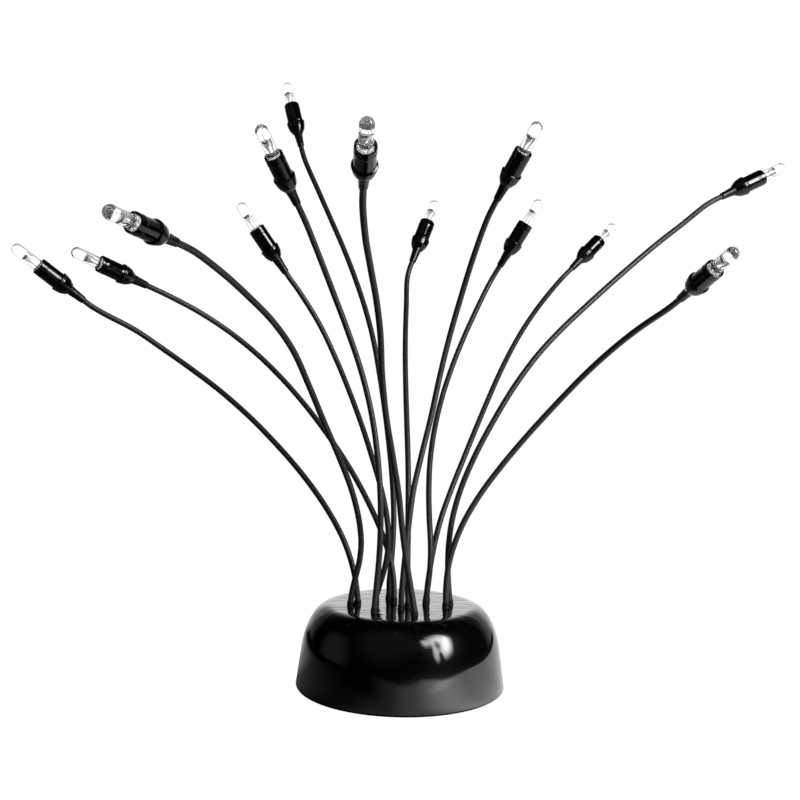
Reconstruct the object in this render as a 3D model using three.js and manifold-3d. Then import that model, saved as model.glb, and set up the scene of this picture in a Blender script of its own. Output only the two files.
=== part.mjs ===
// Table-top pond light: a round gloss-black base that carries thirteen bendable
// stems, each ending in a small lamp holder with a clear bullet lens.
// Millimetres, +Z up, origin at the centre of the face it rests on.
// +X is the widest spread of the stems, -Y is the front.
import * as THREE from "three";
import { mergeVertices } from "three/addons/utils/BufferGeometryUtils.js";
import Module from "manifold-3d";

const wasm = await Module();
wasm.setup();

// ---------------------------------------------------------------- dimensions
const SEGMENTS = 48;          // facets round the base pieces

// base shell: drafted wall, rounded shoulder, flat top
const BASE_HEIGHT = 34.5;
const BASE_FOOT_RADIUS = 44;
const BASE_FOOT_Z = 0.4;      // the shell stands a hair above the floor, on the pad
const WALL_DRAFT = Math.tan(THREE.MathUtils.degToRad(7.8));
const WALL_TOP_Z = 16.5;      // the shoulder starts to turn in here
const SHOULDER_POWER = 2.6;   // how tightly it turns near the top
const FLAT_TOP_RADIUS = 28.6;
const SHELL_WALL = 2.1;
const SHOULDER_STEPS = 10;
const BOSS_RADIUS = 3;        // screw boss under the middle of the top
const BOSS_BORE_RADIUS = 1.55;
const BOSS_Z = 5.6;
const BOSS_BORE_TOP = 16;
const STEM_HOLE_RADIUS = 1.8;

// moulded seal: a mat under the top with one low collar for each stem
const SEAL_MAT_RADIUS = 26.5;
const SEAL_MAT_THICKNESS = 2;
const SEAL_GAP = 0.3;
const BOOT_FOOT_RADIUS = 1.5;
const BOOT_TIP_RADIUS = 1.4;
const BOOT_RISE = 1.4;          // above the flat top

// bottom plate, foot pad, weight, board, screw
const PAD_RADIUS = 36;
const PAD_THICKNESS = 1;
const PLATE_RADIUS = 41;
const PLATE_Z = 1.3;
const PLATE_THICKNESS = 2;
const PLATE_HUB_RADIUS = 6;
const PLATE_HUB_TOP = 5.3;
const SCREW_HEAD_RADIUS = 2.8;
const SCREW_SHANK_RADIUS = 1.2;
const WEIGHT_OUTER_RADIUS = 35;
const WEIGHT_INNER_RADIUS = 8;
const WEIGHT_Z = 3.6;
const WEIGHT_THICKNESS = 6;
const BOARD_RADIUS = 30;
const BOARD_HOLE_RADIUS = 4.6;
const BOARD_Z = 9.9;
const BOARD_THICKNESS = 1.6;

// power inlet grommet through the back wall
const GLAND_Z = 7.2;
const GLAND_BODY_RADIUS = 3;
const GLAND_HOLE_RADIUS = 3.35;
const GLAND_BORE_RADIUS = 1.7;
const GLAND_FLANGE_RADIUS = 4.6;

// stems: soft sleeve over a bendable wire
const STEM_RADIUS = 1.25;
const STEM_SIDES = 8;
const STEM_STEPS = 12;        // in each of the two spans
const STEM_SPLIT = 0.46;      // where along its length a stem's second bend sits
const STEM_SPLIT_GAP = 0.8;
const STEM_TIP_GAP = 0.3;     // to the holder's tail

// lamp holder and lens, measured along the head from the tail face
const HEAD_SIDES = 12;
const TAIL_RADIUS = 1.7;
const TAIL_END_RADIUS = 2.25;
const TAIL_LENGTH = 7.4;
const COLLAR_REAR_RADIUS = 2.8;
const COLLAR_REAR = 7.7;
const COLLAR_RADIUS = 4.46;
const COLLAR_END = 13.3;
const BARREL_RADIUS = 3.78;
const BARREL_START = 13.9;
const MOUTH = 24;
const RECESS_RADIUS = 3.41;
const RECESS_DEPTH = 1.6;
const LENS_RADIUS = 2.5;
const LENS_FLANGE_RADIUS = 2.85;
const LENS_START = 22.6;
const LENS_FLANGE_END = 24.1;
const LENS_DOME = 34.8;
const LENS_TIP = 37.3;

// Each stem leaves its boot straight above it and follows these points to the
// tail of its holder; "axis" is the way the head points.
const ARMS = [
  { id: "01", axis: [-0.6888, -0.4250, 0.5873],
    route: [[-18.4, -1.6, 36.5], [-19, -0.9, 41.4], [-20, -0.1, 46.7], [-21.8, 1.3, 52.8], [-24.7, 3.4, 60], [-29.4, 6.4, 68.3], [-36.5, 10.7, 78.2], [-45.7, 16.1, 88.8], [-57, 22.2, 100], [-69.7, 27.8, 111.4], [-83.4, 32.3, 122.2], [-95.9, 34.7, 131], [-108.7, 35.1, 139.7], [-121.2, 32, 148.3], [-134.2, 27, 155.4], [-139, 25, 158.4], [-141.8, 23.3, 160.7]] },
  { id: "02", axis: [-0.7172, -0.6044, 0.3467],
    route: [[-3.2, 3.8, 36.5], [-3.3, 4.7, 41.4], [-3.9, 6, 46.7], [-5.3, 7.7, 52.8], [-7.8, 10.2, 60], [-11.7, 13.8, 68.5], [-17.4, 19.1, 78.9], [-24.8, 25.5, 90.3], [-34.1, 32.7, 102.6], [-44.8, 39.5, 115.2], [-56.7, 45, 127.6], [-68.8, 48.3, 138.6], [-82, 48.7, 148.8], [-95.5, 44.5, 157.6], [-108.4, 36.4, 164.6], [-113, 33.3, 166.8], [-115.9, 30.9, 168.2]] },
  { id: "03", axis: [-0.4096, -0.8960, 0.1714],
    route: [[-21.2, -5.3, 36.5], [-20.5, -4.5, 41.4], [-19.3, -4.1, 46.7], [-17.9, -3.8, 53.1], [-17.3, -4, 61], [-18.4, -5, 70.9], [-21.5, -7.4, 83.3], [-26.5, -11.4, 96.8], [-32.5, -17.6, 111.5], [-38.2, -25.7, 126.5], [-43.9, -35.3, 140.6], [-50.7, -45, 151.3], [-58.5, -55.8, 160], [-65.8, -68, 167.3], [-73.6, -80.6, 173.7], [-76.6, -85.5, 175.3], [-78.2, -89.1, 176]] },
  { id: "04", axis: [-0.5548, -0.2040, 0.8066],
    route: [[-10.9, 4.1, 36.5], [-9.5, 3.5, 41.2], [-8, 3.4, 46.5], [-6.6, 4.2, 52.8], [-6, 6.3, 60.5], [-6.9, 10.2, 69.7], [-9.6, 16.4, 80.8], [-13.7, 24.2, 92.9], [-18.8, 32.9, 106.6], [-25, 40.9, 121.4], [-32, 47, 136.8], [-40.1, 48.9, 152.9], [-49.9, 47.4, 168.2], [-53.5, 46.8, 173], [-55.7, 46, 176.2]] },
  { id: "05", axis: [-0.3264, -0.6597, 0.6770],
    route: [[-11, -15.5, 36.5], [-10.6, -15.1, 41.5], [-10.2, -14.6, 46.9], [-9.7, -14, 53.4], [-9.3, -12.9, 61.3], [-9.2, -11.5, 71.2], [-9.7, -9.5, 84], [-11.2, -7.2, 98.8], [-14, -5.3, 115.4], [-18.6, -4.7, 132.8], [-24.6, -6, 149.7], [-30.1, -9, 163.8], [-35.3, -14.5, 177.2], [-40.6, -20.8, 190.5], [-42.7, -23.9, 195.2], [-44, -26.5, 197.9]] },
  { id: "06", axis: [-0.2420, 0.3581, 0.9018],
    route: [[-5.3, 9.3, 36.5], [-5.3, 9.8, 41.5], [-4.9, 10.5, 46.9], [-4.4, 11.4, 53.3], [-4, 12.9, 61.2], [-4, 15.2, 70.9], [-4.8, 18.8, 83.4], [-6.4, 23.6, 97.5], [-8.7, 29.8, 113.2], [-11.5, 36.9, 129.4], [-14.8, 44.5, 145.4], [-19.2, 52.1, 160.6], [-24.6, 59.7, 175.4], [-30.7, 67.2, 190], [-37.4, 74.6, 204.4], [-44.1, 82.1, 218.7], [-51, 88.7, 233.4], [-53, 90.6, 238.8], [-54, 92, 242.4]] },
  { id: "07", axis: [0.0566, -0.9128, 0.4044],
    route: [[5.3, -20.1, 36.5], [4.4, -19.9, 41.4], [3.4, -19.7, 46.8], [2.2, -19.7, 53.2], [0.9, -19.8, 61.1], [-0.5, -20.3, 71], [-2, -21.7, 83.8], [-4.5, -24.2, 98.4], [-7.4, -28.6, 114.6], [-9.3, -35.1, 131.2], [-10.1, -43.7, 147], [-11.6, -52.6, 159.3], [-13.7, -62.8, 170.6], [-15.4, -74.3, 180.4], [-16.1, -86.4, 189.9], [-15.9, -91.5, 193.1], [-15.7, -95.2, 194.7]] },
  { id: "08", axis: [0.3019, 0.4320, 0.8498],
    route: [[2.8, -4.9, 36.5], [2.6, -4.6, 41.5], [2.4, -3.9, 46.9], [2.3, -2.6, 53.3], [2.3, -0.4, 61], [2.2, 3.1, 70.3], [2.1, 8.7, 82.1], [1.7, 16.2, 95.1], [1, 25.5, 109.3], [0.3, 35.9, 123.9], [-0.2, 46.5, 138.5], [-0.3, 55.8, 151], [-0.1, 65.7, 163.1], [0.1, 74.5, 176.1], [1.2, 76.8, 181.5], [2.4, 78.5, 184.9]] },
  { id: "09", axis: [0.3824, -0.5513, 0.7415],
    route: [[-0.1, -9.8, 36.5], [0, -9.7, 41.5], [0.4, -9.3, 47], [0.9, -8.6, 53.4], [1.7, -7.4, 61.3], [2.6, -5.3, 71], [4.2, -2.1, 83.5], [7.3, 1.9, 97.6], [11.1, 6.2, 113.6], [14.6, 9.8, 130.9], [18.6, 11.8, 148.3], [23, 11.6, 164.9], [27.5, 8.2, 181], [32.6, 2.8, 196.6], [34.8, 0.3, 201.6], [36.3, -1.9, 204.6]] },
  { id: "10", axis: [0.5021, -0.0763, 0.8614],
    route: [[10.4, 0.1, 36.5], [11, 0.1, 41.5], [11.6, 0.6, 46.9], [12, 1.8, 53.3], [11.9, 4.1, 60.9], [11.3, 8.1, 70.1], [11, 14.4, 81.4], [11.6, 22.6, 94], [13.7, 32.6, 107.5], [17.3, 43.4, 121.5], [22.1, 53.8, 135.3], [27.5, 63.2, 148.3], [33.6, 72, 161.5], [40.4, 80.2, 175.2], [43.3, 81, 180.4], [45.3, 80.7, 183.8]] },
  { id: "11", axis: [0.6497, 0.3784, 0.6593],
    route: [[10.8, 8.4, 36.5], [11.2, 8.4, 41.5], [11.9, 8.8, 46.9], [12.9, 9.9, 53.3], [14.4, 12, 60.8], [16.9, 15.6, 69.8], [21, 21.6, 80.5], [26.1, 29.6, 92.2], [31.8, 39.7, 104.7], [37.8, 50.9, 117.3], [44, 62.5, 129.7], [49.9, 72.8, 140.4], [56.4, 83, 150.9], [63.7, 93, 161.1], [71.4, 103.3, 170.5], [79.8, 113.3, 179.8], [83.6, 116, 183.7], [86.2, 117.5, 186.3]] },
  { id: "12", axis: [0.8669, 0.2343, 0.4399],
    route: [[20.5, 1, 36.5], [19.9, 0.7, 41.5], [19.5, 0.5, 46.9], [19.3, 0.4, 53.4], [19.6, 0.6, 61.4], [20.9, 1.1, 71.3], [24.3, 2.3, 83.8], [30, 4.3, 97.5], [37.8, 7.5, 112.3], [46.9, 11.7, 127.2], [57.3, 16.8, 141], [68.3, 22.1, 152.6], [80, 27.9, 163.4], [91.7, 34, 173.8], [103.6, 40.4, 184], [115.6, 47.1, 193.8], [127.8, 54.3, 203.1], [139.8, 61.8, 212.5], [144.6, 63.8, 215.5], [148.1, 64.7, 217.3]] },
  { id: "13", axis: [0.3045, -0.8518, 0.4264],
    route: [[18.6, -4.1, 36.5], [18.5, -4.2, 41.5], [18.8, -4.1, 47], [19.7, -3.8, 53.4], [21.8, -3.1, 61.1], [25.6, -1.9, 70.3], [32.1, -0.2, 81.4], [40.9, 1.6, 93.4], [51.6, 2.6, 106.5], [63.3, 1.6, 120.1], [74.8, -2.5, 133.3], [84.4, -9.1, 143.6], [92.9, -18.9, 152.1], [100.4, -30.8, 158.9], [102.7, -35.7, 161.4], [103.9, -39.1, 163.1]] },
];

// ------------------------------------------------------------------ materials
const plastic = (color, roughness) =>
  new THREE.MeshStandardMaterial({ color, roughness, metalness: 0 });
const metal = (color, roughness) =>
  new THREE.MeshStandardMaterial({ color, roughness, metalness: 1 });
const glossBlack = () => plastic(0x08090a, 0.08);
const holderBlack = () => plastic(0x0b0c0d, 0.18);
const stemBlack = () => plastic(0x111213, 0.42);
const rubberBlack = () => plastic(0x0d0d0e, 0.6);
const lensClear = () =>
  new THREE.MeshStandardMaterial({ color: 0xe9eef2, roughness: 0.04, metalness: 0, transparent: true, opacity: 0.35 });

// -------------------------------------------------------------------- helpers
const light = new THREE.Group();
light.name = "pond_light";

function place(parent, name, geometry, material) {
  const mesh = new THREE.Mesh(geometry, material);
  mesh.name = name;
  parent.add(mesh);
  return mesh;
}

// a lathe profile of [radius, height] pairs, turned about +Z
function turned(profile, sides) {
  const g = new THREE.LatheGeometry(profile.map(([r, z]) => new THREE.Vector2(r, z)), sides);
  g.rotateX(Math.PI / 2);
  return g;
}

function solid(geometry) {
  const g = geometry.clone();
  g.deleteAttribute("normal");
  g.deleteAttribute("uv");
  const m = mergeVertices(g, 1e-4);
  // zero-area facets at the axis are dropped
  const index = [];
  const src = m.index.array;
  for (let i = 0; i < src.length; i += 3) {
    const [a, b, c] = [src[i], src[i + 1], src[i + 2]];
    if (a !== b && b !== c && a !== c) index.push(a, b, c);
  }
  return new wasm.Manifold(new wasm.Mesh({
    numProp: 3,
    vertProperties: new Float32Array(m.attributes.position.array),
    triVerts: new Uint32Array(index),
  }));
}

function geometryOf(manifold) {
  const mesh = manifold.getMesh();
  const g = new THREE.BufferGeometry();
  g.setAttribute("position", new THREE.BufferAttribute(new Float32Array(mesh.vertProperties), 3));
  g.setIndex(new THREE.BufferAttribute(new Uint32Array(mesh.triVerts), 1));
  g.computeVertexNormals();
  return g;
}

// a short upright tool, wider profile first, standing at x, y
function upright(profile, sides, x, y) {
  return solid(turned(profile, sides).translate(x, y, 0));
}

// ----------------------------------------------------------------- base shell
function shellProfile() {
  // radius of a drafted wall that starts at the foot and, above WALL_TOP_Z, turns in to the top
  const curve = (foot, top, flat, steps) => {
    const reach = foot - (top - BASE_FOOT_Z) * WALL_DRAFT - flat;
    const points = [];
    for (let i = 0; i <= steps; i++) {
      const u = Math.sin((Math.PI / 2) * (i / steps));
      const z = WALL_TOP_Z + (top - WALL_TOP_Z) * u;
      const turn = 1 - Math.pow(Math.max(0, 1 - u * u), 1 / SHOULDER_POWER);
      points.push([foot - (z - BASE_FOOT_Z) * WALL_DRAFT - reach * turn, z]);
    }
    return points;
  };
  const innerTop = BASE_HEIGHT - SHELL_WALL;
  const outer = curve(BASE_FOOT_RADIUS, BASE_HEIGHT, FLAT_TOP_RADIUS, SHOULDER_STEPS);
  const inner = curve(BASE_FOOT_RADIUS - SHELL_WALL, innerTop, FLAT_TOP_RADIUS - 1, 6);
  return [
    [0, BOSS_BORE_TOP], [BOSS_BORE_RADIUS, BOSS_BORE_TOP], [BOSS_BORE_RADIUS, BOSS_Z], [BOSS_RADIUS, BOSS_Z],
    [BOSS_RADIUS, innerTop], ...inner.reverse(),
    [BASE_FOOT_RADIUS - SHELL_WALL, BASE_FOOT_Z], [BASE_FOOT_RADIUS, BASE_FOOT_Z],
    ...outer, [0, BASE_HEIGHT],
  ];
}

let shell = solid(turned(shellProfile(), SEGMENTS));
for (const arm of ARMS) {
  const [x, y] = arm.route[0];
  shell = shell.subtract(upright(
    [[0, BASE_HEIGHT - 6], [STEM_HOLE_RADIUS, BASE_HEIGHT - 6], [STEM_HOLE_RADIUS, BASE_HEIGHT + 3], [0, BASE_HEIGHT + 3]],
    12, x, y));
}
const glandHole = turned([[0, 36], [GLAND_HOLE_RADIUS, 36], [GLAND_HOLE_RADIUS, 50], [0, 50]], 16);
glandHole.rotateX(-Math.PI / 2).translate(0, 0, GLAND_Z);
shell = shell.subtract(solid(glandHole));
place(light, "base_shell", geometryOf(shell), glossBlack());

// ------------------------------------------------------------------ stem seal
const matTop = BASE_HEIGHT - SHELL_WALL - SEAL_GAP;
const matBottom = matTop - SEAL_MAT_THICKNESS;
const matHole = BOSS_RADIUS + 0.4;
let seal = solid(turned([
  [matHole, matBottom], [SEAL_MAT_RADIUS, matBottom], [SEAL_MAT_RADIUS, matTop], [matHole, matTop], [matHole, matBottom],
], 32));
for (const arm of ARMS) {
  const [x, y] = arm.route[0];
  seal = seal.add(upright([
    [0, matBottom + 0.6], [BOOT_FOOT_RADIUS, matBottom + 0.6], [BOOT_FOOT_RADIUS, BASE_HEIGHT + 0.6],
    [BOOT_TIP_RADIUS, BASE_HEIGHT + BOOT_RISE], [0, BASE_HEIGHT + BOOT_RISE],
  ], 12, x, y));
}
place(light, "stem_seal", geometryOf(seal), rubberBlack());

// ----------------------------------------------------- bottom plate and inner
place(light, "foot_pad", turned([[0, 0], [PAD_RADIUS, 0], [PAD_RADIUS, PAD_THICKNESS], [0, PAD_THICKNESS]], SEGMENTS), rubberBlack());

const plateTop = PLATE_Z + PLATE_THICKNESS;
place(light, "base_plate", turned([
  [SCREW_HEAD_RADIUS + 0.4, PLATE_Z], [PLATE_RADIUS, PLATE_Z], [PLATE_RADIUS, plateTop],
  [PLATE_HUB_RADIUS, plateTop], [PLATE_HUB_RADIUS, PLATE_HUB_TOP], [SCREW_SHANK_RADIUS + 0.5, PLATE_HUB_TOP],
  [SCREW_SHANK_RADIUS + 0.5, 3.3], [SCREW_HEAD_RADIUS + 0.4, 3.3], [SCREW_HEAD_RADIUS + 0.4, PLATE_Z],
], SEGMENTS), plastic(0x151617, 0.5));

place(light, "centre_screw", turned([
  [0, 1.4], [SCREW_HEAD_RADIUS, 1.4], [SCREW_HEAD_RADIUS, 2.9], [SCREW_SHANK_RADIUS, 2.9], [SCREW_SHANK_RADIUS, 14], [0, 14],
], 12), metal(0xb8babd, 0.35));

place(light, "ballast_weight", turned([
  [WEIGHT_INNER_RADIUS, WEIGHT_Z], [WEIGHT_OUTER_RADIUS, WEIGHT_Z], [WEIGHT_OUTER_RADIUS, WEIGHT_Z + WEIGHT_THICKNESS],
  [WEIGHT_INNER_RADIUS, WEIGHT_Z + WEIGHT_THICKNESS], [WEIGHT_INNER_RADIUS, WEIGHT_Z],
], 32), metal(0x6e7073, 0.55));

place(light, "circuit_board", turned([
  [BOARD_HOLE_RADIUS, BOARD_Z], [BOARD_RADIUS, BOARD_Z], [BOARD_RADIUS, BOARD_Z + BOARD_THICKNESS],
  [BOARD_HOLE_RADIUS, BOARD_Z + BOARD_THICKNESS], [BOARD_HOLE_RADIUS, BOARD_Z],
], 32), plastic(0x1d5a35, 0.5));

const gland = place(light, "cable_gland", turned([
  [GLAND_BORE_RADIUS, 37.5], [GLAND_BODY_RADIUS, 37.5], [GLAND_BODY_RADIUS, 44], [GLAND_FLANGE_RADIUS, 44],
  [GLAND_FLANGE_RADIUS, 45.2], [GLAND_BODY_RADIUS + 0.2, 46], [GLAND_BORE_RADIUS, 46], [GLAND_BORE_RADIUS, 37.5],
], 16), rubberBlack());
gland.rotation.x = -Math.PI / 2;
gland.position.z = GLAND_Z;

// ---------------------------------------------------------------------- arms
// part of a curve between two fractions of its length
class Span extends THREE.Curve {
  constructor(whole, from, to) {
    super();
    this.whole = whole;
    this.from = from;
    this.to = to;
  }
  getPoint(t, target = new THREE.Vector3()) {
    return this.whole.getPointAt(this.from + (this.to - this.from) * t, target);
  }
}

function stemGeometry(curve) {
  const ring = [];
  for (let i = 0; i < STEM_SIDES; i++) {
    const a = (2 * Math.PI * i) / STEM_SIDES;
    ring.push(new THREE.Vector2(STEM_RADIUS * Math.cos(a), STEM_RADIUS * Math.sin(a)));
  }
  return new THREE.ExtrudeGeometry(new THREE.Shape(ring), { steps: STEM_STEPS, extrudePath: curve, curveSegments: STEM_SIDES });
}

const holderProfile = [
  [0, 0], [TAIL_RADIUS, 0], [TAIL_END_RADIUS, TAIL_LENGTH], [COLLAR_REAR_RADIUS, COLLAR_REAR],
  [3.85, 9.7], [COLLAR_RADIUS - 0.15, 11.8], [COLLAR_RADIUS, COLLAR_END - 0.5], [COLLAR_RADIUS - 0.1, COLLAR_END],
  [BARREL_RADIUS, BARREL_START],
  [BARREL_RADIUS, MOUTH], [RECESS_RADIUS, MOUTH], [RECESS_RADIUS, MOUTH - RECESS_DEPTH], [0, MOUTH - RECESS_DEPTH],
];
const lensProfile = [
  [0, LENS_START], [LENS_FLANGE_RADIUS, LENS_START], [LENS_FLANGE_RADIUS, LENS_FLANGE_END],
  [LENS_RADIUS, LENS_FLANGE_END], [LENS_RADIUS, LENS_DOME], [LENS_RADIUS * 0.92, LENS_DOME + 1.1],
  [LENS_RADIUS * 0.62, LENS_DOME + 2.05], [0, LENS_TIP],
];

for (const arm of ARMS) {
  const points = arm.route.map((p) => new THREE.Vector3(...p));
  const curve = new THREE.CatmullRomCurve3(points, false, "centripetal");
  curve.arcLengthDivisions = 600;
  const length = curve.getLength();
  const half = STEM_SPLIT_GAP / 2 / length;
  const lower = new Span(curve, 0, STEM_SPLIT - half);
  const upper = new Span(curve, STEM_SPLIT + half, 1 - STEM_TIP_GAP / length);
  place(light, `stem_${arm.id}_lower`, stemGeometry(lower), stemBlack());
  place(light, `stem_${arm.id}_upper`, stemGeometry(upper), stemBlack());

  const head = new THREE.Group();
  head.position.copy(points[points.length - 1]);
  head.quaternion.setFromUnitVectors(new THREE.Vector3(0, 0, 1), new THREE.Vector3(...arm.axis).normalize());
  light.add(head);
  place(head, `holder_${arm.id}`, turned(holderProfile, HEAD_SIDES), holderBlack());
  place(head, `led_${arm.id}`, turned(lensProfile, HEAD_SIDES), lensClear());
}

export default light;
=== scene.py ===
import math

import bmesh
import bpy
from mathutils import Matrix, Quaternion, Vector, noise


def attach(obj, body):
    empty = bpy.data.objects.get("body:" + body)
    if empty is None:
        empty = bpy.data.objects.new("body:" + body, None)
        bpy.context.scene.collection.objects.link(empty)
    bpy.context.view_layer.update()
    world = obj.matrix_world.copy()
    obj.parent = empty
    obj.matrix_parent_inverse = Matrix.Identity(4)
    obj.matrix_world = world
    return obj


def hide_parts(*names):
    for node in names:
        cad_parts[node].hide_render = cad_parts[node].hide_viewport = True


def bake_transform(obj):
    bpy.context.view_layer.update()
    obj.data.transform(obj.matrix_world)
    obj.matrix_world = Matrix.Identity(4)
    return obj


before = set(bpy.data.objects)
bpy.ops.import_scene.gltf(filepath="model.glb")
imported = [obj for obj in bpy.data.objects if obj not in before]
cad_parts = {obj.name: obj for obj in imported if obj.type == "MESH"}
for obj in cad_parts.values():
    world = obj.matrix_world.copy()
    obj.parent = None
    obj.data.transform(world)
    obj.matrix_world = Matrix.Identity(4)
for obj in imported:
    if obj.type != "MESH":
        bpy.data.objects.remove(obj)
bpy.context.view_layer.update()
scene = bpy.context.scene
MM = 0.001

# ---------------------------------------------------------------- dimensions
# (millimetres; the helpers below turn them into metres)
BASE_HEIGHT = 34.5
FLAT_TOP_RADIUS = 28.6
FOOT_RADIUS = 44.0
WALL_DRAFT = math.tan(math.radians(7.8))
WALL_TOP = 16.5
SHELL_WALL = 2.1
STEM_RADIUS = 1.25
STEM_SPLIT = 0.46
BEND_HALF = 15.0        # a stem bends over this much either side of its split

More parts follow.
